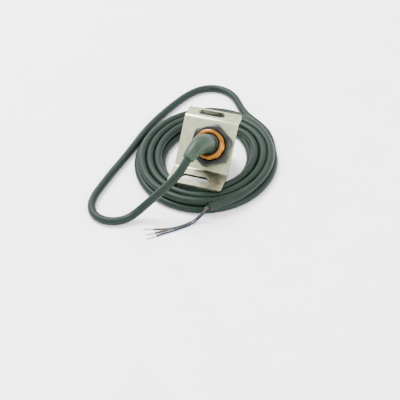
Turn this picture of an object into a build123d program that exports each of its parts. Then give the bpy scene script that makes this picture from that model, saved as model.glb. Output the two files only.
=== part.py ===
from build123d import *

import os
from math import cos, pi, radians, sin, tan

# M18 inductive proximity sensor, clamped between two jam nuts in a stepped sheet bracket, lying in its own
# coiled cable.  Millimetres, +Z up, the base on z = 0, the origin under the middle of bracket and sensor.
# The sensor leans back 45 degrees: its cable end looks up and towards -Y, its sensing face down and back.

# ---- driving dimensions: bracket ----
tilt = 45.0
sheet = 2.0
bend_r = 2.6  # at the middle of the sheet
bracket_width = 34.0
plate_length = 32.0  # from bend to bend
foot_depth = 15.5
flange_depth = 8.8
hole_offset = 3.5  # the sensor hole sits right of the bracket's middle
hole_r = 9.25
slot_length = 17.0
slot_width = 5.0
slot_offset = -1.2
foot_slot_in = 6.8  # slot centre from the foot's front edge
flange_slot_in = 3.7  # slot centre from the flange's rear edge
corner_r = 1.6

# ---- driving dimensions: sensor, as distances from the middle of the plate towards the cable end ----
barrel_r = 8.95
bore_r = 7.6
lip_r = 6.1
barrel_rear = 12.0
barrel_front = -22.5
lip_front = 10.4
cap_face = -23.0
cap_lip_r = 8.3
nut_flats = 24.0
nut_face_r = 11.6  # flat part of each face, inside the corner chamfers
nut_height = 4.0
nut_bore_r = 9.0
nut_turn = 22.0  # how far a corner stands from the +X direction
washer_thick = 1.0
washer_r = 11.8
washer_bore_r = 9.2
washer_teeth = 12
gap = 0.05  # play between pieces that only lie against each other

# ---- driving dimensions: cable ----
cable_d = 5.0
cable_r = cable_d / 2
wire_r = 0.55
tinned_r = 0.45
tinned_length = 6.0
boot_profile = [(0.0, 5.7), (3.0, 5.6), (7.0, 5.5), (12.0, 5.25), (17.0, 4.85), (22.0, 4.3), (28.0, 3.7)]
coil_centre = (-2.7, 12.0)
coil_inner = (25.2, 30.0)  # half extents along X and Y: the coil is an oval
coil_outer = (45.2, 50.0)
coil_height = 9.4

# ---- where the sensor stands: on the rim of its sensing cap ----
lean = radians(tilt)
rise = (plate_length / 2) * sin(lean)
hole_z = (cap_lip_r - cap_face) * sin(lean)
foot_z = hole_z - rise
flange_z = hole_z + rise
reach_front = rise + foot_depth
reach_back = (cap_lip_r - cap_face) * cos(lean)
hole_y = (reach_front - reach_back) / 2
foot_front = hole_y - reach_front
flange_back = hole_y + rise + flange_depth
sensor = Plane(
    origin=(hole_offset, hole_y, hole_z),
    x_dir=(1, 0, 0),
    z_dir=(0, -cos(lean), sin(lean)),
)


def save(piece, name):
    """Label a finished piece and write it as its own node."""
    piece.part.label = name
    export_step(piece.part, f"parts/{name}.step")


def tube_path(points):
    """Straight runs joined by arcs, each as large as its two runs allow."""
    spots = [Vector(*p) for p in points]
    runs = [b - a for a, b in zip(spots, spots[1:])]
    radii = []
    for before, after in zip(runs, runs[1:]):
        half_turn = radians(before.get_angle(after)) / 2
        radii.append(0.45 * min(before.length, after.length) / tan(half_turn))
    return FilletPolyline(*spots, radius=radii), radii


os.makedirs("parts", exist_ok=True)

# ---- bracket: foot, leaning plate and top flange bent from one strip ----
with BuildPart() as bracket:
    with BuildSketch(Plane.YZ) as strip:
        with BuildLine():
            FilletPolyline(
                (foot_front, foot_z),
                (hole_y - rise, foot_z),
                (hole_y + rise, flange_z),
                (flange_back, flange_z),
                radius=bend_r,
            )
        trace(line_width=sheet)
    extrude(amount=bracket_width / 2, both=True)
    fillet(bracket.edges().filter_by(Axis.Z), corner_r)
    with BuildSketch(sensor):
        Circle(hole_r)
    extrude(amount=sheet, both=True, mode=Mode.SUBTRACT)
    for slot_y, slot_z in (
        (foot_front + foot_slot_in, foot_z),
        (flange_back - flange_slot_in, flange_z),
    ):
        with BuildSketch(Plane.XY.offset(slot_z)):
            with Locations((slot_offset, slot_y)):
                SlotOverall(slot_length, slot_width)
        extrude(amount=sheet, both=True, mode=Mode.SUBTRACT)
save(bracket, "bracket")

# ---- barrel: brass tube with a rolled lip at the cable end ----
with BuildPart() as barrel:
    with BuildSketch(sensor.offset(barrel_front)):
        Circle(barrel_r)
    extrude(amount=barrel_rear - barrel_front)
    with BuildSketch(sensor.offset(barrel_front)):
        Circle(bore_r)
    extrude(amount=lip_front - barrel_front, mode=Mode.SUBTRACT)
    with BuildSketch(sensor.offset(lip_front)):
        Circle(lip_r)
    extrude(amount=barrel_rear - lip_front, mode=Mode.SUBTRACT)
    outer_rims = barrel.edges().filter_by(GeomType.CIRCLE).filter_by(lambda e: abs(e.radius - barrel_r) < 0.01)
    chamfer(outer_rims, 0.45)
    lip_rim = barrel.edges().filter_by(GeomType.CIRCLE).filter_by(lambda e: abs(e.radius - lip_r) < 0.01)
    fillet(lip_rim.sort_by(Axis.Z)[-1], 0.7)
save(barrel, "barrel")

# ---- sensing cap: plastic cup pressed into the front of the barrel ----
cap_wall = 0.6
cap_floor = 1.0
cap_back = -15.5
with BuildPart() as sensing_cap:
    with BuildSketch(sensor.offset(cap_face)):
        Circle(cap_lip_r)
    extrude(amount=barrel_front - cap_face)
    with BuildSketch(sensor.offset(barrel_front)):
        Circle(bore_r - gap)
    extrude(amount=cap_back - barrel_front)
    with BuildSketch(sensor.offset(cap_face + cap_floor)):
        Circle(bore_r - gap - cap_wall)
    extrude(amount=cap_back - cap_face - cap_floor, mode=Mode.SUBTRACT)
save(sensing_cap, "sensing_cap")

# ---- shield ring round the coil system ----
shield_r = bore_r - 2 * gap - cap_wall
shield_wall = 0.3
shield_front = cap_face + cap_floor
shield_back = -17.0
with BuildPart() as shield_ring:
    with BuildSketch(sensor.offset(shield_front)):
        Circle(shield_r)
        Circle(shield_r - shield_wall, mode=Mode.SUBTRACT)
    extrude(amount=shield_back - shield_front)
save(shield_ring, "shield_ring")

# ---- ferrite pot core, open towards the sensing face ----
core_r = shield_r - shield_wall - gap
core_front = shield_front + 0.1
core_back = -17.1
core_base = 1.6
post_r = 2.2
groove_r = 5.3
with BuildPart() as ferrite_core:
    with BuildSketch(sensor.offset(core_front)):
        Circle(core_r)
    extrude(amount=core_back - core_front)
    with BuildSketch(sensor.offset(core_front)):
        Circle(groove_r)
        Circle(post_r, mode=Mode.SUBTRACT)
    extrude(amount=core_back - core_front - core_base, mode=Mode.SUBTRACT)
    with BuildSketch(sensor.offset(core_front)):
        Circle(0.9)
    extrude(amount=core_back - core_front, mode=Mode.SUBTRACT)
save(ferrite_core, "ferrite_core")

# ---- bobbin in the core's groove, and the winding on it ----
bobbin_front = core_front + 0.1
bobbin_length = core_back - core_base - bobbin_front - gap
bobbin_r = 2.8
flange_r = groove_r - 0.15
flange_thick = 0.35
with BuildPart() as coil_bobbin:
    with BuildSketch(sensor.offset(bobbin_front)):
        Circle(flange_r)
    extrude(amount=bobbin_length)
    with BuildSketch(sensor.offset(bobbin_front + flange_thick)):
        Circle(flange_r)
        Circle(bobbin_r, mode=Mode.SUBTRACT)
    extrude(amount=bobbin_length - 2 * flange_thick, mode=Mode.SUBTRACT)
    with BuildSketch(sensor.offset(bobbin_front)):
        Circle(post_r + gap)
    extrude(amount=bobbin_length, mode=Mode.SUBTRACT)
save(coil_bobbin, "coil_bobbin")

with BuildPart() as coil_winding:
    with BuildSketch(sensor.offset(bobbin_front + flange_thick + gap)):
        Circle(flange_r - 0.25)
        Circle(bobbin_r + gap, mode=Mode.SUBTRACT)
    extrude(amount=bobbin_length - 2 * flange_thick - 2 * gap)
save(coil_winding, "coil_winding")

# ---- circuit board along the axis, its front edge in the core holder ----
board_width = 12.0
board_thick = 1.0
board_front = -16.6
board_rear = 0.5
holder_front = core_back + gap
holder_back = cap_back - gap
with BuildPart() as circuit_board:
    with BuildSketch(sensor.offset(board_front)):
        Rectangle(board_width, board_thick)
    extrude(amount=board_rear - board_front)
save(circuit_board, "circuit_board")

with BuildPart() as core_holder:
    with BuildSketch(sensor.offset(holder_front)):
        Circle(core_r)
        with Locations((0, 4), (0, -4)):
            Circle(0.8, mode=Mode.SUBTRACT)
    extrude(amount=holder_back - holder_front)
    with BuildSketch(sensor.offset(board_front)):
        Rectangle(board_width, board_thick)
    extrude(amount=board_rear - board_front, mode=Mode.SUBTRACT)
save(core_holder, "core_holder")


def mounted(spots, size, side):
    """Small packages on one side of the board: (across, along) spots, (across, high, along) size."""
    across, high, along = size
    with BuildPart() as packages:
        for spot_x, spot_t in spots:
            with BuildSketch(sensor.offset(spot_t - along / 2)):
                with Locations((spot_x, side * (board_thick + high) / 2)):
                    Rectangle(across, high)
            extrude(amount=along)
    return packages


oscillator_chip = mounted([(0.4, -11.0)], (4.0, 1.5, 5.0), 1)
save(oscillator_chip, "oscillator_chip")
output_transistor = mounted([(-1.6, -4.6)], (3.0, 1.2, 1.6), 1)
save(output_transistor, "output_transistor")
protection_diode = mounted([(2.8, -5.2)], (1.7, 1.2, 3.0), 1)
save(protection_diode, "protection_diode")
capacitors = mounted([(-3.6, -12.4), (-3.6, -9.2), (4.0, -9.0)], (1.3, 1.2, 2.1), 1)
save(capacitors, "capacitors")
resistors = mounted([(x, t) for x in (-3.0, -1.0, 1.0, 3.0) for t in (-13.0, -8.0)], (0.9, 0.5, 1.7), -1)
save(resistors, "resistors")
status_leds = mounted([(-4.6, -0.4), (4.6, -0.4)], (1.6, 0.8, 0.9), 1)
save(status_leds, "status_leds")

# ---- end plug behind the lip, translucent so that the status lamps show ----
plug_front = 4.6
plug_rear = 11.4
groove_front = 6.9
groove_length = 1.5
groove_floor_r = 6.25
with BuildPart() as end_plug:
    with BuildSketch(sensor.offset(plug_front)):
        Circle(bore_r - gap)
    extrude(amount=lip_front - plug_front)
    with BuildSketch(sensor.offset(lip_front)):
        Circle(lip_r - gap)
    extrude(amount=plug_rear - lip_front)
    with BuildSketch(sensor.offset(groove_front)):
        Circle(bore_r)
        Circle(groove_floor_r, mode=Mode.SUBTRACT)
    extrude(amount=groove_length, mode=Mode.SUBTRACT)
    with BuildSketch(sensor.offset(plug_front)):
        Circle(cable_r + gap)
    extrude(amount=plug_rear - plug_front, mode=Mode.SUBTRACT)
save(end_plug, "end_plug")

seal_r = 0.62
with BuildPart() as plug_seal:
    with BuildSketch(Plane(sensor.origin, x_dir=sensor.x_dir, z_dir=-sensor.y_dir)):
        with Locations((groove_floor_r + seal_r + gap / 2, groove_front + groove_length / 2)):
            Circle(seal_r)
    revolve(axis=Axis(sensor.origin, sensor.z_dir))
save(plug_seal, "plug_seal")

# ---- cable end inside the plug, its crimp ring, and the three leads to the board ----
stub_front = 2.6
crimp_front = 2.9
crimp_length = 1.6
with BuildPart() as cable_stub:
    with BuildSketch(sensor.offset(stub_front)):
        Circle(cable_r)
    extrude(amount=plug_rear - stub_front)
save(cable_stub, "cable_stub")

with BuildPart() as crimp_ring:
    with BuildSketch(sensor.offset(crimp_front)):
        Circle(cable_r + gap + 0.6)
        Circle(cable_r + gap, mode=Mode.SUBTRACT)
    extrude(amount=crimp_length)
save(crimp_ring, "crimp_ring")

lead_pitch = 1.5
pad_pitch = 2.2
pad_height = board_thick / 2 + wire_r + gap
wire_colours = ("brown", "blue", "black")
leads = []
for i, colour in enumerate(wire_colours):
    start = sensor.from_local_coords((lead_pitch * (i - 1), 0, stub_front - 0.4))
    over_edge = sensor.from_local_coords((pad_pitch * (i - 1), pad_height, board_rear + 0.3))
    pad = sensor.from_local_coords((pad_pitch * (i - 1), pad_height, -2.4))
    with BuildPart() as lead:
        with BuildLine() as lead_line:
            FilletPolyline(start, over_edge, pad, radius=1.6)
        with BuildSketch(Plane(origin=start, z_dir=lead_line.line % 0)):
            Circle(wire_r)
        sweep(path=lead_line.line)
    save(lead, f"lead_{colour}")
    leads.append(lead)

# ---- potting resin round everything between the cap and the plug ----
buried = [circuit_board, oscillator_chip, output_transistor, protection_diode, capacitors, resistors]
buried += [status_leds, cable_stub, crimp_ring, *leads]
with BuildPart() as potting_resin:
    with BuildSketch(sensor.offset(cap_back)):
        Circle(bore_r - gap)
    extrude(amount=plug_front - gap - cap_back)
    for piece in buried:
        add(piece.part, mode=Mode.SUBTRACT)
save(potting_resin, "potting_resin")


# ---- jam nuts and toothed lock washers, one pair on each side of the plate ----
def lock_washer(face):
    """Washer whose near face lies at this distance from the plate's middle, growing towards the cable end."""
    with BuildPart() as washer:
        with BuildSketch(sensor.offset(face)):
            Circle(washer_r)
            Circle(washer_bore_r, mode=Mode.SUBTRACT)
            with PolarLocations(washer_bore_r + 0.5, washer_teeth):
                Rectangle(2.2, 1.1, mode=Mode.SUBTRACT)
        extrude(amount=washer_thick)
    return washer


def jam_nut(face):
    """Hexagon nut with its corners chamfered round on both faces."""
    nut_plane = sensor.offset(face)
    with BuildPart() as nut:
        with BuildSketch(nut_plane):
            RegularPolygon(nut_flats / 2, 6, major_radius=False, rotation=nut_turn)
        extrude(amount=nut_height)
        with BuildSketch(nut_plane):
            Circle(nut_face_r)
        extrude(amount=nut_height, taper=-60, mode=Mode.INTERSECT)
        with BuildSketch(nut_plane.offset(nut_height)):
            Circle(nut_face_r)
        extrude(amount=-nut_height, taper=-60, mode=Mode.INTERSECT)
        with BuildSketch(nut_plane):
            Circle(nut_bore_r)
        extrude(amount=nut_height, mode=Mode.SUBTRACT)
    return nut


rear_washer_face = sheet / 2
rear_nut_face = rear_washer_face + washer_thick
rear_lock_washer = lock_washer(rear_washer_face)
save(rear_lock_washer, "rear_lock_washer")
rear_nut = jam_nut(rear_nut_face)
save(rear_nut, "rear_nut")
front_lock_washer = lock_washer(-rear_nut_face)
save(front_lock_washer, "front_lock_washer")
front_nut = jam_nut(-rear_nut_face - nut_height)
save(front_nut, "front_nut")

# ---- cable: out of the plug, over the coil's front, round the left and the back, and into the coil ----
cable_route = [
    (3.5, -5.73, 30.2),
    (3.5, -10.33, 34.8),
    (1.6, -16.6, 38.4),
    (0.2, -23.4, 38.9),
    (-1.6, -30.2, 36.4),
    (-4.4, -36.6, 30.6),
    (-9.6, -41.2, 24.0),
    (-15.8, -44.4, 17.2),
    (-22.0, -47.2, 10.6),
    (-27.0, -50.6, 5.4),
    (-31.6, -55.0, 2.9),
    (-37.2, -58.9, 2.6),
    (-43.6, -60.2, 2.6),
    (-50.0, -58.6, 2.6),
    (-54.6, -54.4, 2.6),
    (-57.2, -48.4, 2.6),
    (-58.0, -41.0, 2.6),
    (-57.2, -32.0, 2.6),
    (-55.6, -18.0, 2.6),
    (-53.4, -4.0, 2.6),
    (-51.6, 10.0, 2.6),
    (-50.4, 23.0, 2.6),
    (-48.2, 36.0, 2.6),
    (-44.6, 49.4, 2.6),
    (-40.4, 62.4, 2.6),
    (-35.6, 74.6, 2.6),
    (-29.0, 84.0, 2.6),
    (-20.8, 88.4, 2.6),
    (-12.2, 88.0, 2.6),
    (-4.8, 83.6, 2.6),
    (0.8, 76.2, 2.6),
    (6.0, 68.2, 2.6),
    (12.8, 62.0, 2.6),
    (20.2, 57.0, 2.6),
    (27.0, 50.6, 2.6),
    (31.6, 43.0, 2.6),
    (34.4, 35.6, 2.6),
]
cable_path, cable_radii = tube_path(cable_route)
print("cable: corner radii", [round(r, 1) for r in cable_radii])
with BuildPart() as cable:
    with BuildSketch(Plane(origin=cable_path @ 0, z_dir=cable_path % 0)):
        Circle(cable_r)
    sweep(path=cable_path)
save(cable, "cable")
print("cable: volume over section times length", cable.part.volume / (pi * cable_r**2 * cable_path.length))

# ---- strain relief boot: a sleeve that follows the cable's first bend and tapers to its tip ----
with BuildPart() as strain_relief_boot:
    for along, radius in boot_profile:
        spot = cable_path.position_at(along / cable_path.length)
        heading = cable_path.tangent_at(along / cable_path.length)
        with BuildSketch(Plane(origin=spot, x_dir=(1, 0, 0), z_dir=heading)):
            Circle(radius)
    loft()
    add(cable.part, mode=Mode.SUBTRACT)
save(strain_relief_boot, "strain_relief_boot")

# ---- coil: the outer shape of the wound cable, two layers deep ----
edge_round = 2.3
with BuildPart() as cable_coil:
    with BuildSketch():
        with Locations(coil_centre):
            Ellipse(*coil_outer)
            Ellipse(*coil_inner, mode=Mode.SUBTRACT)
    extrude(amount=coil_height)
    fillet(cable_coil.edges(), edge_round)
save(cable_coil, "cable_coil")

# ---- the three conductors at the cable's free end, with tinned tips ----
conductor_routes = {
    "brown": [
        (11.6, -35.1, 2.2),
        (9.64, -39.24, 1.2),
        (6.4, -43.56, 0.6),
        (2.14, -47.9, 0.6),
        (-2.96, -51.84, 0.6),
        (-9.2, -54.9, 0.6),
        (-14.6, -56.6, 0.6),
    ],
    "blue": [
        (13.2, -34.6, 2.2),
        (10.76, -39.96, 1.2),
        (7.4, -44.44, 0.6),
        (3.06, -48.9, 0.6),
        (-1.9, -53.3, 0.6),
        (-7.2, -57.7, 0.6),
        (-11.4, -61.6, 0.6),
    ],
    "black": [
        (12.4, -34.9, 3.2),
        (10.2, -39.6, 2.2),
        (6.9, -44.0, 1.6),
        (2.6, -48.4, 1.55),
        (-2.4, -52.6, 1.4),
        (-8.2, -56.4, 0.7),
        (-13.0, -59.3, 0.6),
    ],
}
tips = []
for colour, route in conductor_routes.items():
    wire_path, wire_radii = tube_path(route)
    print(f"conductor_{colour}: corner radii", [round(r, 1) for r in wire_radii], round(wire_path.length, 1))
    with BuildPart() as conductor:
        with BuildSketch(Plane(origin=wire_path @ 0, z_dir=wire_path % 0)):
            Circle(wire_r)
        sweep(path=wire_path)
    save(conductor, f"conductor_{colour}")
    tips.append(Plane(origin=wire_path @ 1, z_dir=wire_path % 1))
with BuildPart() as tinned_ends:
    for tip in tips:
        with BuildSketch(tip):
            Circle(tinned_r)
        extrude(amount=tinned_length)
save(tinned_ends, "tinned_ends")
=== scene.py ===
import math
import random

import bmesh
import bpy
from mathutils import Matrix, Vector


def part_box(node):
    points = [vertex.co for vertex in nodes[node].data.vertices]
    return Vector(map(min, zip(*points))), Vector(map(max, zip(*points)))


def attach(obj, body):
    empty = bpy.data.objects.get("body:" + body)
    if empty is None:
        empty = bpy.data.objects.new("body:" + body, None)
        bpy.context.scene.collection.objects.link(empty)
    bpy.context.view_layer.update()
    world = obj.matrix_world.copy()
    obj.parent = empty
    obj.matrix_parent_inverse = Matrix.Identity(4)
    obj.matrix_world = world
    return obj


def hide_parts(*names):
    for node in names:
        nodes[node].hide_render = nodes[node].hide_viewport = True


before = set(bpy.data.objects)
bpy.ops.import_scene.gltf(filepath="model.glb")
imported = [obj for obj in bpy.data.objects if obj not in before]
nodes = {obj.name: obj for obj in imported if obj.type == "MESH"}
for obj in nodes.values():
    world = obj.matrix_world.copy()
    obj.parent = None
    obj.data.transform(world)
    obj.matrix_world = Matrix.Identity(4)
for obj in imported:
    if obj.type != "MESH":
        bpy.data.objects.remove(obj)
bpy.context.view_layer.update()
scene = bpy.context.scene
MM = 0.001


def millimetres(*numbers):
    return Vector(numbers) * MM


# ---- the sensor's own frame: u right, v up the leaning plate, t along the axis to the cable end ----
nut_corners = [corner for name in ("rear_nut", "front_nut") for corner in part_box(name)]
lowest = Vector(min(c[i] for c in nut_corners) for i in range(3))
highest = Vector(max(c[i] for c in nut_corners) for i in range(3))
ORIGIN = (lowest + highest) / 2
LEAN = math.radians(45)
U = Vector((1, 0, 0))
V = Vector((0, math.cos(LEAN), math.sin(LEAN)))
T = Vector((0, -math.sin(LEAN), math.cos(LEAN)))


def at_sensor(u, v, t):
    """A point of the sensor's frame, given in millimetres, in the row frame in metres."""
    return ORIGIN + (U * u + V * v + T * t) * MM


# ---- camera ----
AZIMUTH, ELEVATION = math.radians(17), math.radians(42)
LENS, SENSOR_WIDTH = 85, 36  # millimetres
CAMERA_FAR = 0.581  # metres from the plate's middle to the camera
LOOK_LEFT, LOOK_DOWN = 0.00394, 0.0337  # where the camera aims, from the plate's middle
back = Vector((
    math.sin(AZIMUTH) * math.cos(ELEVATION),
    -math.cos(AZIMUTH) * math.cos(ELEVATION),
    math.sin(ELEVATION),
))
right = Vector((math.cos(AZIMUTH), math.sin(AZIMUTH), 0))
up = back.cross(right)
plate_middle = Vector((0, ORIGIN.y, ORIGIN.z))
camera_data = bpy.data.cameras.new("camera")
camera_data.lens = LENS
camera_data.sensor_width = SENSOR_WIDTH
camera_data.dof.use_dof = False
camera = bpy.data.objects.new("camera", camera_data)
camera.location = plate_middle - right * LOOK_LEFT - up * LOOK_DOWN + back * CAMERA_FAR
camera.rotation_mode = "QUATERNION"
camera.rotation_quaternion = (-back).to_track_quat("-Z", "Y")
scene.collection.objects.link(camera)
scene.camera = camera

# ---- materials ----


def linear(red, green, blue):
    """An sRGB colour of 0 to 255 as the linear colour that sockets take."""
    def one(c):
        c /= 255
        return c / 12.92 if c <= 0.04045 else ((c + 0.055) / 1.055) ** 2.4
    return one(red), one(green), one(blue), 1.0


class Nodes:
    """A material's node tree, with short ways to add and join nodes."""

    def __init__(self, name):
        self.material = bpy.data.materials.new(name)
        self.material.use_nodes = True
        self.tree = self.material.node_tree
        self.bsdf = self.tree.nodes["Principled BSDF"]
        self.position = self.add("ShaderNodeTexCoord").outputs["Object"]

    def add(self, kind, inputs=None, **settings):
        node = self.tree.nodes.new(kind)
        for key, value in settings.items():
            setattr(node, key, value)
        for key, value in (inputs or {}).items():
            if isinstance(value, bpy.types.NodeSocket):
                self.tree.links.new(value, node.inputs[key])
            else:
                node.inputs[key].default_value = value
        return node

    def noise(self, vector, scale, detail=3.0, roughness=0.55, distortion=0.0):
        made = self.add("ShaderNodeTexNoise", {
            "Vector": vector,
            "Scale": scale,
            "Detail": detail,
            "Roughness": roughness,
            "Distortion": distortion,
        })
        return made.outputs["Fac"]

    def stretched(self, scale):
        return self.add("ShaderNodeMapping", {"Vector": self.position, "Scale": scale}).outputs["Vector"]

    def ramp(self, value, stops):
        made = self.add("ShaderNodeValToRGB", {"Fac": value})
        elements = made.color_ramp.elements
        elements[0].position, elements[0].color = stops[0]
        elements[1].position, elements[1].color = stops[-1]
        for place, colour in stops[1:-1]:
            elements.new(place).color = colour
        return made.outputs["Color"]

    def spread(self, value, low, high, start=0.3, end=0.7):
        made = self.add("ShaderNodeMapRange", {
            "Value": value, "From Min": start, "From Max": end, "To Min": low, "To Max": high,
        })
        return made.outputs["Result"]

    def mix(self, share, first, second, blend="MIX"):
        made = self.add("ShaderNodeMix", data_type="RGBA", blend_type=blend)
        for key, value in ((0, share), (6, first), (7, second)):
            if isinstance(value, bpy.types.NodeSocket):
                self.tree.links.new(value, made.inputs[key])
            else:
                made.inputs[key].default_value = value
        return made.outputs[2]

    def bump(self, height, strength, distance, normal=None):
        inputs = {"Height": height, "Strength": strength, "Distance": distance}
        if normal is not None:
            inputs["Normal"] = normal
        return self.add("ShaderNodeBump", inputs).outputs["Normal"]

    def around_axis(self):
        """(distance from the sensor's axis, place along it) as a vector, for marks left by turning."""
        def vector_math(operation, *values):
            return self.add("ShaderNodeVectorMath", dict(enumerate(values)), operation=operation).outputs

        place = vector_math("SUBTRACT", self.position, tuple(ORIGIN))["Vector"]
        along = vector_math("DOT_PRODUCT", place, tuple(T))["Value"]
        aside = vector_math("CROSS_PRODUCT", place, tuple(T))["Vector"]
        reach = vector_math("LENGTH", aside)["Value"]
        return self.add("ShaderNodeCombineXYZ", {"X": reach, "Y": along}).outputs["Vector"]

    def set(self, **sockets):
        for key, value in sockets.items():
            socket = self.bsdf.inputs[key.replace("_", " ").title().replace("Ior", "IOR")]
            if isinstance(value, bpy.types.NodeSocket):
                self.tree.links.new(value, socket)
            else:
                socket.default_value = value
        return self.material


def plastic(name, dark, light, rough, patch=350.0, grain=2600.0, depth=0.00002, **sockets):
    """Moulded or extruded plastic: slow colour patches, a fine grain and uneven gloss."""
    m = Nodes(name)
    patches = m.noise(m.position, patch, detail=4.0)
    fine = m.noise(m.position, grain, detail=2.0)
    speckle = m.noise(m.position, grain * 0.45, detail=5.0, roughness=0.7)
    speckled = m.spread(speckle, 0.0, 0.35, 0.45, 0.75)
    colour = m.mix(speckled, m.ramp(patches, [(0.3, dark), (0.7, light)]), light)
    return m.set(
        base_color=colour,
        roughness=m.spread(patches, rough[0], rough[1]),
        normal=m.bump(fine, 0.35, depth),
        **sockets,
    )


def metal(name, dark, light, rough, turned=True, scratch=1.0, **sockets):
    """Machined metal: tool marks round the axis or a brushed grain along X, blotches, and fine scratches."""
    m = Nodes(name)
    if turned:
        marks = m.noise(m.around_axis(), 9000.0, detail=3.0, roughness=0.7)
    else:
        marks = m.noise(m.stretched((0.035, 1.0, 1.0)), 5200.0, detail=4.0, roughness=0.7)
    blotches = m.noise(m.position, 260.0, detail=5.0, roughness=0.6)
    scratches = m.noise(m.stretched((0.25, 1.0, 0.6)), 2300.0, detail=2.0, roughness=0.8, distortion=1.6)
    colour = m.mix(m.spread(marks, 0.0, 0.45), m.ramp(blotches, [(0.3, dark), (0.72, light)]), light)
    gloss = m.spread(m.mix(0.5, marks, blotches), rough[0], rough[1], 0.35, 0.65)
    rubbed = m.bump(m.spread(scratches, 0.0, 1.0, 0.62, 0.66), 0.12 * scratch, 0.00003)
    return m.set(
        base_color=colour,
        roughness=gloss,
        normal=m.bump(marks, 0.16, 0.00003, rubbed),
        metallic=1.0,
        **sockets,
    )


STEEL = metal("sheet_steel", linear(144, 147, 120), linear(172, 175, 148), (0.28, 0.44), turned=False)
SPRING = metal("washer_steel", linear(96, 97, 98), linear(140, 141, 140), (0.3, 0.45))
NUT = metal("nut_dark_nickel", linear(34, 36, 35), linear(60, 62, 60), (0.28, 0.44))
BRASS = metal("barrel_brass", linear(106, 64, 24), linear(154, 106, 46), (0.22, 0.36))
JACKET = plastic(
    "cable_pvc", linear(7, 23, 16), linear(16, 33, 25), (0.42, 0.56), patch=120.0, specular_ior_level=0.2
)
BOOT = plastic(
    "boot_pvc", linear(26, 42, 31), linear(38, 55, 41), (0.4, 0.54), patch=180.0, specular_ior_level=0.25
)
PLUG = plastic("plug_smoked", linear(14, 26, 32), linear(22, 38, 46), (0.18, 0.3), coat_weight=0.3)
CAP = plastic("cap_pbt", linear(30, 34, 36), linear(44, 48, 50), (0.42, 0.56))
FERRITE = plastic("ferrite_sintered", linear(40, 40, 42), linear(62, 62, 64), (0.6, 0.78), patch=900.0)
BOBBIN = plastic("bobbin_nylon", linear(206, 200, 180), linear(224, 220, 204), (0.4, 0.55))
COPPER = metal("enamelled_copper", linear(150, 66, 28), linear(196, 98, 50), (0.2, 0.34))
BOARD = plastic("board_mask", linear(10, 70, 36), linear(20, 96, 52), (0.25, 0.36), patch=700.0)
CHIP = plastic("chip_epoxy", linear(20, 20, 22), linear(34, 34, 36), (0.5, 0.65), patch=800.0)
CERAMIC = plastic("ceramic_fired", linear(160, 124, 86), linear(190, 154, 112), (0.45, 0.6), patch=1200.0)
LAMP = plastic("lamp_lens", linear(230, 150, 20), linear(250, 188, 52), (0.1, 0.18), transmission_weight=0.4)
RESIN = plastic("potting_epoxy", linear(34, 28, 24), linear(54, 46, 40), (0.15, 0.3), patch=500.0)
RUBBER = plastic("seal_nbr", linear(18, 18, 19), linear(30, 30, 31), (0.55, 0.7))
BROWN = plastic("wire_brown", linear(58, 34, 22), linear(82, 50, 34), (0.34, 0.46))
BLUE = plastic("wire_blue", linear(12, 24, 44), linear(20, 34, 58), (0.38, 0.5), specular_ior_level=0.3)
BLACK = plastic("wire_black", linear(20, 22, 22), linear(34, 36, 36), (0.34, 0.46))
TINNED = metal("tinned_strands", linear(170, 170, 168), linear(206, 206, 204), (0.22, 0.36), turned=False)
CRIMP = metal("crimp_brass", linear(150, 120, 70), linear(186, 156, 100), (0.28, 0.42))


# ---- mesh helpers ----
def add_object(name, data, material, body):
    """A new piece in the row frame, riding on a body."""
    data.materials.append(material)
    obj = bpy.data.objects.new(name, data)
    scene.collection.objects.link(obj)
    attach(obj, body)
    return obj


def mesh_of(name, points, faces, sharp=35.0):
    """A mesh with outward normals, smooth but for edges sharper than that many degrees."""
    mesh = bpy.data.meshes.new(name)
    mesh.from_pydata([tuple(p) for p in points], [], faces)
    work = bmesh.new()
    work.from_mesh(mesh)
    bmesh.ops.remove_doubles(work, verts=work.verts, dist=1e-7)
    bmesh.ops.recalc_face_normals(work, faces=work.faces)
    for face in work.faces:
        face.smooth = True
    work.to_mesh(mesh)
    work.free()
    mesh.set_sharp_from_angle(angle=math.radians(sharp))
    return mesh


def ring_faces(count, first, second):
    """Quads between two closed rings of that many points."""
    return [(first + i, first + (i + 1) % count, second + (i + 1) % count, second + i) for i in range(count)]


def turned(rings, count):
    """Points and faces of a body round the sensor's axis: rings[k](angle) gives (radius, t) in millimetres."""
    points, faces = [], []
    for ring in rings:
        for i in range(count):
            angle = 2 * math.pi * i / count
            radius, along = ring(angle)
            points.append(at_sensor(radius * math.cos(angle), radius * math.sin(angle), along))
    for k in range(len(rings)):
        faces += ring_faces(count, k * count, (k + 1) % len(rings) * count)
    return points, faces


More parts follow.
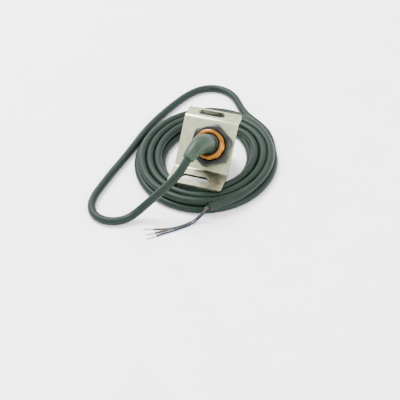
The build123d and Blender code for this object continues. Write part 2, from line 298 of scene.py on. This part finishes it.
# ---- cable: its route over the coil's front, round the left and the back, then the coil's turns ----
CABLE_D = 5.0
cable_route = [
    (3.5, -5.73, 30.2),
    (3.5, -10.33, 34.8),
    (1.6, -16.6, 38.4),
    (0.2, -23.4, 38.9),
    (-1.6, -30.2, 36.4),
    (-4.4, -36.6, 30.6),
    (-9.6, -41.2, 24.0),
    (-15.8, -44.4, 17.2),
    (-22.0, -47.2, 10.6),
    (-27.0, -50.6, 5.4),
    (-31.6, -55.0, 2.9),
    (-37.2, -58.9, 2.6),
    (-43.6, -60.2, 2.6),
    (-50.0, -58.6, 2.6),
    (-54.6, -54.4, 2.6),
    (-57.2, -48.4, 2.6),
    (-58.0, -41.0, 2.6),
    (-57.2, -32.0, 2.6),
    (-55.6, -18.0, 2.6),
    (-53.4, -4.0, 2.6),
    (-51.6, 10.0, 2.6),
    (-50.4, 23.0, 2.6),
    (-48.2, 36.0, 2.6),
    (-44.6, 49.4, 2.6),
    (-40.4, 62.4, 2.6),
    (-35.6, 74.6, 2.6),
    (-29.0, 84.0, 2.6),
    (-20.8, 88.4, 2.6),
    (-12.2, 88.0, 2.6),
    (-4.8, 83.6, 2.6),
    (0.8, 76.2, 2.6),
    (6.0, 68.2, 2.6),
    (12.8, 62.0, 2.6),
    (20.2, 57.0, 2.6),
    (27.0, 50.6, 2.6),
    (31.6, 43.0, 2.6),
    (34.4, 35.6, 2.6),
]
COIL_X, COIL_Y = -2.7, 12.0
COIL_LONGER = 4.8  # the coil is an oval, this much longer along Y on each side
COIL_START = 30.0  # degrees from +X, where the cable joins the coil; it winds clockwise seen from above
PER_TURN = 18
FLOOR_TURNS = [42.7, 37.7, 32.7, 27.7]  # half widths along X of the turns on the floor, from outside to inside
TOP_TURNS = [30.3, 35.4, 40.4]  # and of the turns that lie on them, from inside to outside
FLOOR_Z = 2.55
TOP_MOST = 7.2  # the bracket's foot is just above
CROSSING = 0.24  # share of a turn in which the cable moves over to the next column
END_TURN = 0.27  # share of a turn by which the last turn goes past the start
SLIP_TURN = 0.12  # share of a turn in which the free end slips over the outer strand
SLIP_OUT, SLIP_UP, SLIP_TOP = 4.2, 0.2, 7.4


def column_at(turn):
    """(radius, lift) of the winding there, before its looseness: lift is 0 on the floor and 1 on top."""
    columns = FLOOR_TURNS + TOP_TURNS + [TOP_TURNS[-1]]
    whole = min(int(turn), len(columns) - 2)
    part = turn - whole
    share = max(0.0, (part - 1 + CROSSING) / CROSSING) if whole < len(columns) - 2 else 0.0
    share = share * share * (3 - 2 * share)
    radius = columns[whole] + (columns[whole + 1] - columns[whole]) * share
    lift = 0.0 if whole < len(FLOOR_TURNS) - 1 else share if whole == len(FLOOR_TURNS) - 1 else 1.0
    return radius, lift


rng = random.Random(7)
# (size in millimetres, waves per turn, phase)
waves = [(rng.uniform(0.12, 0.3), rng.uniform(0.7, 2.6), rng.uniform(0, 6.28)) for _ in range(4)]


def looseness(turn):
    """How far the cable wanders from its column there, as hand-wound turns do."""
    return sum(size * math.sin(2 * math.pi * rate * turn + phase) for size, rate, phase in waves)


def coil_points():
    """The coil's points in millimetres: in along the floor, then back out on top, to the free end."""
    total = len(FLOOR_TURNS) + len(TOP_TURNS) + END_TURN
    steps = int(round(total * PER_TURN))
    stretch = 1 / math.cos(math.pi / PER_TURN)
    made = []
    for step in range(1, steps + 1):
        turn = step / PER_TURN
        radius, lift = column_at(turn)
        radius += looseness(turn)
        earlier = [turn - k for k in range(1, 8) if turn - k > 0]
        under = [column_at(t)[0] + looseness(t) for t in earlier if column_at(t)[1] < 0.5]
        height = FLOOR_Z
        if lift > 0 and under:
            gap = min(abs(radius - r) for r in under)
            height += lift * math.sqrt(max(CABLE_D**2 - gap**2, 0)) if gap < CABLE_D else 0
        if turn > total - SLIP_TURN:
            radius += (turn - total + SLIP_TURN) / SLIP_TURN * SLIP_OUT
            height = min(height + SLIP_UP, SLIP_TOP)
        else:
            height = min(height, TOP_MOST)
        angle = math.radians(COIL_START - 360 * turn)
        made.append((
            COIL_X + radius * stretch * math.cos(angle),
            COIL_Y + (radius + COIL_LONGER) * stretch * math.sin(angle),
            height,
        ))
    return made


def cord_curve(name, points, thickness, material):
    """A round cord along one smooth NURBS line, from points in millimetres."""
    data = bpy.data.curves.new(name, "CURVE")
    data.dimensions = "3D"
    data.resolution_u = 6
    data.bevel_depth = thickness / 2 * MM
    data.bevel_resolution = 5
    data.use_fill_caps = True
    spline = data.splines.new("NURBS")
    spline.points.add(len(points) - 1)
    for point, place in zip(spline.points, points):
        point.co = (*millimetres(*place), 1.0)
    spline.order_u = 3
    spline.use_endpoint_u = True
    return add_object(name, data, material, "sensor")


def line_of(cord):
    """The points down the middle of a cord's curve."""
    data = cord.data.copy()
    data.bevel_depth = 0
    bare = bpy.data.objects.new("bare_line", data)
    mesh = bpy.data.meshes.new_from_object(bare)
    line = [v.co.copy() for v in mesh.vertices]
    bpy.data.meshes.remove(mesh)
    bpy.data.curves.remove(data)
    return line


def walk(line, along):
    """(place, direction) that far along a line, in metres."""
    gone = 0.0
    for a, b in zip(line, line[1:]):
        step = (b - a).length
        if gone + step >= along and step > 0:
            return a.lerp(b, (along - gone) / step), (b - a).normalized()
        gone += step
    return line[-1].copy(), (line[-1] - line[-2]).normalized()


winding = coil_points()
cable = cord_curve("cable_run", cable_route + winding, CABLE_D, JACKET)
cable_line = line_of(cable)

# ---- strain relief boot: a sleeve on the cable's first bend ----
# (millimetres along the cable, radius)
BOOT_PROFILE = [
    (0.0, 4.4), (0.0, 4.75), (0.2, 4.95), (1.0, 5.05), (3.0, 5.2), (7.0, 5.35), (12.0, 5.2), (17.0, 4.8),
    (22.0, 4.25), (25.5, 3.88), (27.0, 3.72), (27.6, 3.6), (27.9, 3.4), (28.0, 3.15), (28.0, 2.62),
    (26.6, 2.52),
]
BOOT_SIDES = 48
BOOT_STEP = 0.8


def sleeve(name, line, profile, sides):
    """A tube that follows a line: profile gives (millimetres along, radius)."""
    points, faces = [], []
    side = U.copy()
    for along, radius in profile:
        place, heading = walk(line, along * MM)
        side = (side - heading * side.dot(heading)).normalized()
        other = heading.cross(side)
        for i in range(sides):
            angle = 2 * math.pi * i / sides
            points.append(place + (side * math.cos(angle) + other * math.sin(angle)) * radius * MM)
    for k in range(len(profile) - 1):
        faces += ring_faces(sides, k * sides, (k + 1) * sides)
    faces += ring_faces(sides, (len(profile) - 1) * sides, 0)
    return mesh_of(name, points, faces)


def finer(profile, step):
    """The profile with more rings, so that it bends smoothly."""
    made = [profile[0]]
    for (a, r), (b, s) in zip(profile, profile[1:]):
        pieces = max(1, int(math.ceil(abs(b - a) / step)))
        made += [(a + (b - a) * i / pieces, r + (s - r) * i / pieces) for i in range(1, pieces + 1)]
    return made


boot_mesh = sleeve("cable_boot", cable_line, finer(BOOT_PROFILE, BOOT_STEP), BOOT_SIDES)
boot = add_object("cable_boot", boot_mesh, BOOT, "sensor")
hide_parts("strain_relief_boot")
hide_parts("cable", "cable_coil")

# ---- the three conductors at the free end, and their tinned strands ----
WIRE_D = 1.1
INSIDE, STRAIGHT = 1.5, 2.5  # each wire starts that far inside the jacket and leaves it straight for that long
end_place = cable_line[-1] / MM
end_heading = (cable_line[-1] - cable_line[-2]).normalized()
end_side = Vector((-end_heading.y, end_heading.x, 0)).normalized()
# material, place in the jacket (aside, above), and the route from there
wire_routes = {
    "brown": (BROWN, (0.55, -0.35), [
        (11.4, -37.4, 6.0), (8.2, -40.9, 3.0), (4.9, -44.6, 0.9),
        (1.0, -48.4, 0.6), (-3.6, -52.2, 0.6), (-9.2, -55.1, 0.6), (-14.6, -56.6, 0.6),
    ]),
    "blue": (BLUE, (-0.55, -0.35), [
        (11.6, -38.6, 5.6), (9.0, -42.2, 2.8), (5.8, -45.9, 0.8),
        (2.0, -49.9, 0.6), (-2.4, -54.0, 0.6), (-7.2, -58.0, 0.6), (-11.4, -61.6, 0.6),
    ]),
    "black": (BLACK, (0.0, 0.6), [
        (11.5, -38.0, 6.8), (8.7, -41.6, 4.0), (5.4, -45.2, 1.9),
        (1.6, -49.1, 1.6), (-3.0, -53.1, 1.45), (-8.2, -56.7, 0.8), (-13.0, -59.5, 0.6),
    ]),
}
STRANDS = 7  # one in the middle and six twisted round it
STRAND_SIDES, STRAND_RINGS = 8, 25
STRAND_OVERLAP = 0.4  # how far the strands start inside the insulation
STRAND_R, STRAND_TIP_R = 0.15, 0.05
STRAND_REACH = 0.29  # from the bundle's middle to a strand's middle
STRAND_TWIST = 75  # degrees per millimetre
BARE_LENGTH, UNEVEN = 6.0, 0.25


def bare_strands(line, seed):
    """Points and faces of the twisted tinned strands beyond a wire's insulation."""
    tip, heading = line[-1], (line[-1] - line[-2]).normalized()
    aside_axis = heading.cross(Vector((0, 0, 1))).normalized()
    other_axis = aside_axis.cross(heading)
    points, faces = [], []
    for k in range(STRANDS):
        reach_out = 0.0 if k == STRANDS - 1 else STRAND_REACH
        length = BARE_LENGTH + UNEVEN * math.sin(2.3 * k + seed)
        first = len(points)
        for j in range(STRAND_RINGS):
            along = -STRAND_OVERLAP + (length + STRAND_OVERLAP) * j / (STRAND_RINGS - 1)
            turn = math.radians(60 * k + along * STRAND_TWIST)
            twist = (aside_axis * math.cos(turn) + other_axis * math.sin(turn)) * reach_out
            girth = STRAND_TIP_R if j == STRAND_RINGS - 1 else STRAND_R
            for i in range(STRAND_SIDES):
                angle = 2 * math.pi * i / STRAND_SIDES
                rim = (aside_axis * math.cos(angle) + other_axis * math.sin(angle)) * girth
                points.append(tip + (heading * along + twist + rim) * MM)
            if j:
                faces += ring_faces(STRAND_SIDES, first + (j - 1) * STRAND_SIDES, first + j * STRAND_SIDES)
        faces.append(tuple(first + i for i in range(STRAND_SIDES)))
        faces.append(tuple(len(points) - STRAND_SIDES + i for i in range(STRAND_SIDES)))
    return points, faces


for colour, (material, (aside, above), route) in wire_routes.items():
    offset = end_side * aside + Vector((0, 0, above))
    start = end_place - end_heading * INSIDE + offset
    leave = end_place + end_heading * STRAIGHT + offset
    wire = cord_curve(
        f"wire_{colour}", [tuple(start), tuple(leave)] + route, WIRE_D, material
    )
    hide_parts(f"conductor_{colour}")
    wire_line = line_of(wire)
    points, faces = bare_strands(wire_line, len(colour))
    name = f"tinned_strands_{colour}"
    strands = add_object(name, mesh_of(name, points, faces, 50), TINNED, "sensor")
    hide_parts("tinned_ends")

# ---- barrel: a thread along its outside, a chamfer at both ends and a rolled lip round the plug ----
THREAD_R = 8.95
THREAD_DEPTH = 0.5
THREAD_ROWS = 9  # rings in each turn of the thread
THREAD_FADE = 0.8
BARREL_FRONT, BARREL_REAR = -22.5, 12.0
BARREL_SIDES = 96


def thread_rings(front, rear):
    """Rings of an M18 x 1 thread that fades out at both ends."""
    count = int((rear - front) * THREAD_ROWS)

    def ring(along):
        def place(angle):
            phase = (along - angle / (2 * math.pi)) % 1.0
            tooth = max(0.0, min(1.0, (abs(phase - 0.5) * 2 - 0.18) / 0.62))
            fade = max(0.0, min(1.0, (along - front) / THREAD_FADE, (rear - along) / THREAD_FADE))
            return THREAD_R - THREAD_DEPTH * tooth * fade, along
        return place
    return [ring(front + (rear - front) * k / count) for k in range(count + 1)]


def round_ring(radius, along):
    return lambda angle: (radius, along)


barrel_rings = [round_ring(7.6, BARREL_FRONT), round_ring(8.35, BARREL_FRONT)]
barrel_rings.append(round_ring(8.5, BARREL_FRONT + 0.05))
barrel_rings += thread_rings(BARREL_FRONT + 0.45, BARREL_REAR - 0.75)
for radius, along in (
    (8.9, 11.45), (8.62, 11.8), (8.35, 11.93), (8.0, 12.0), (7.3, 12.0), (6.95, 11.95), (6.6, 11.78),
    (6.3, 11.5), (6.15, 11.15), (6.1, 10.8), (6.1, 10.4), (7.6, 10.4),
):
    barrel_rings.append(round_ring(radius, along))
points, faces = turned(barrel_rings, BARREL_SIDES)
barrel = add_object("threaded_barrel", mesh_of("threaded_barrel", points, faces, 42), BRASS, "sensor")
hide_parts("barrel")

# ---- jam nuts: hexagons with rounded corners, chamfers on both faces and countersunk bores ----
FLATS = 12.0
NUT_TURN = math.radians(22)
NUT_HEIGHT = 4.0
CORNER_SOFT = 0.35
NUT_FACE_R = 11.55  # flat part of each face, inside the corner chamfers
CHAMFER_SLOPE = math.tan(math.radians(28))
NUT_SIDES = 240


def hexagon(angle, shrink):
    """Distance to the hexagon's outline, its corners rounded a little."""
    turn = (angle - NUT_TURN + math.pi / 6) % (math.pi / 3) - math.pi / 6
    from_flat = math.pi / 6 - abs(turn)
    sharp_reach = FLATS / math.cos(from_flat)
    soft_reach = FLATS / math.cos(math.pi / 6) - CORNER_SOFT
    return min(sharp_reach, soft_reach + (sharp_reach - soft_reach) * 0.12) - shrink


def nut_rings(face):
    """Rings round a nut whose lower face is at this t."""
    def edge(side, inset, lower):
        """The outline on that side of the nut, drawn in by inset and lowered further."""
        def place(angle):
            reach = hexagon(angle, inset)
            drop = max(0.0, reach - NUT_FACE_R) * CHAMFER_SLOPE + 0.02 + lower
            return reach, face + drop if side < 0 else face + NUT_HEIGHT - drop
        return place

    rings = [round_ring(9.0, face + 0.75), round_ring(9.72, face + 0.08), round_ring(9.85, face)]
    rings += [round_ring(10.7, face), round_ring(NUT_FACE_R - 0.12, face)]
    rings += [round_ring(NUT_FACE_R + 0.05, face + 0.03), edge(-1, 0.1, 0.0), edge(-1, 0.0, 0.1)]
    rings += [edge(1, 0.0, 0.1), edge(1, 0.1, 0.0)]
    top = face + NUT_HEIGHT
    rings += [round_ring(NUT_FACE_R + 0.05, top - 0.03), round_ring(NUT_FACE_R - 0.12, top)]
    rings += [round_ring(10.7, top), round_ring(9.85, top), round_ring(9.72, top - 0.08)]
    rings.append(round_ring(9.0, top - 0.75))
    return rings


for name, face in (("rear_nut", 2.0), ("front_nut", -6.0)):
    points, faces = turned(nut_rings(face), NUT_SIDES)
    nut = add_object(f"{name}_hex", mesh_of(f"{name}_hex", points, faces, 24), NUT, name)
    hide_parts(name)


# ---- lock washers with twisted inner teeth ----
TEETH = 12
WASHER_SIDES = TEETH * 16


def washer_rings(face):
    """Rings round a washer whose lower side is at this t: flat outside, each tooth twisted inside."""
    def tooth(angle):
        phase = (angle * TEETH / (2 * math.pi) + 0.5) % 1.0
        out = abs(phase - 0.5) * 2
        inner = 9.22 if out < 0.62 else 9.22 + (out - 0.62) / 0.1 * 1.5 if out < 0.72 else 10.72
        return inner, (phase - 0.5) * 0.5

    def ring(share, level):
        def place(angle):
            inner, twist = tooth(angle)
            radius = inner + (11.8 - inner) * share
            lean_in = max(0.0, 1 - share * 2.4)
            return radius, face + 0.5 + level * 0.3 + twist * lean_in
        return place
    return [ring(s, -1) for s in (0.0, 0.2, 0.45, 0.75, 0.97)] + [ring(1.0, -0.7), ring(1.0, 0.7)] + [
        ring(s, 1) for s in (0.97, 0.75, 0.45, 0.2, 0.0)
    ]


for side, face in (("rear", 1.0), ("front", -2.0)):
    name = f"{side}_lock_washer"
    points, faces = turned(washer_rings(face), WASHER_SIDES)
    washer_mesh = mesh_of(f"{name}_teeth", points, faces, 30)
    washer = add_object(f"{name}_teeth", washer_mesh, SPRING, f"{side}_washer")
    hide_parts(name)

# ---- materials on the CAD pieces that stay, and softened edges on the bracket ----
node_looks = {
    "bracket": STEEL, "sensing_cap": CAP, "shield_ring": BRASS, "ferrite_core": FERRITE, "coil_bobbin": BOBBIN,
    "coil_winding": COPPER, "circuit_board": BOARD, "core_holder": BOBBIN, "oscillator_chip": CHIP,
    "output_transistor": CHIP, "protection_diode": CHIP, "capacitors": CERAMIC, "resistors": CHIP,
    "status_leds": LAMP, "end_plug": PLUG, "plug_seal": RUBBER, "cable_stub": JACKET, "crimp_ring": CRIMP,
    "lead_brown": BROWN, "lead_blue": BLUE, "lead_black": BLACK, "potting_resin": RESIN,
}
for name, material in node_looks.items():
    data = nodes[name].data
    data.materials.clear()
    data.materials.append(material)


def soften(name, width):
    """Round the node's edges a little with modifiers, so that they catch the light."""
    node = nodes[name]
    weld = node.modifiers.new("weld", "WELD")
    weld.merge_threshold = 1e-6
    flat = node.modifiers.new("flat", "DECIMATE")
    flat.decimate_type = "DISSOLVE"
    flat.angle_limit = math.radians(0.5)
    bevel = node.modifiers.new("bevel", "BEVEL")
    bevel.width = width * MM
    bevel.segments = 3
    bevel.limit_method = "ANGLE"
    bevel.angle_limit = math.radians(40)
    bevel.harden_normals = True


soften("bracket", 0.22)

# ---- floor, soft light and world ----
bpy.ops.mesh.primitive_plane_add(size=6)
floor = bpy.context.object
floor.name = "floor"
floor_look = Nodes("floor_paper")
paper = floor_look.noise(floor_look.position, 30.0, detail=4.0)
floor.data.materials.append(floor_look.set(
    base_color=floor_look.ramp(paper, [(0.3, (0.9, 0.905, 0.9, 1)), (0.7, (0.94, 0.945, 0.94, 1))]),
    roughness=0.75,
))


def area_light(name, place, size, power):
    data = bpy.data.lights.new(name, "AREA")
    data.shape = "DISK"
    data.size = size
    data.energy = power
    light = bpy.data.objects.new(name, data)
    light.location = place
    light.rotation_mode = "QUATERNION"
    light.rotation_quaternion = (ORIGIN - Vector(place)).to_track_quat("-Z", "Y")
    scene.collection.objects.link(light)


area_light("key", (-0.5, 0.25, 1.0), 0.6, 34)
area_light("fill", (0.9, -0.6, 0.8), 0.9, 12)
world = bpy.data.worlds.new("studio")
world.use_nodes = True
world.node_tree.nodes["Background"].inputs["Color"].default_value = (1, 1, 1, 1)
world.node_tree.nodes["Background"].inputs["Strength"].default_value = 2.6
scene.world = world
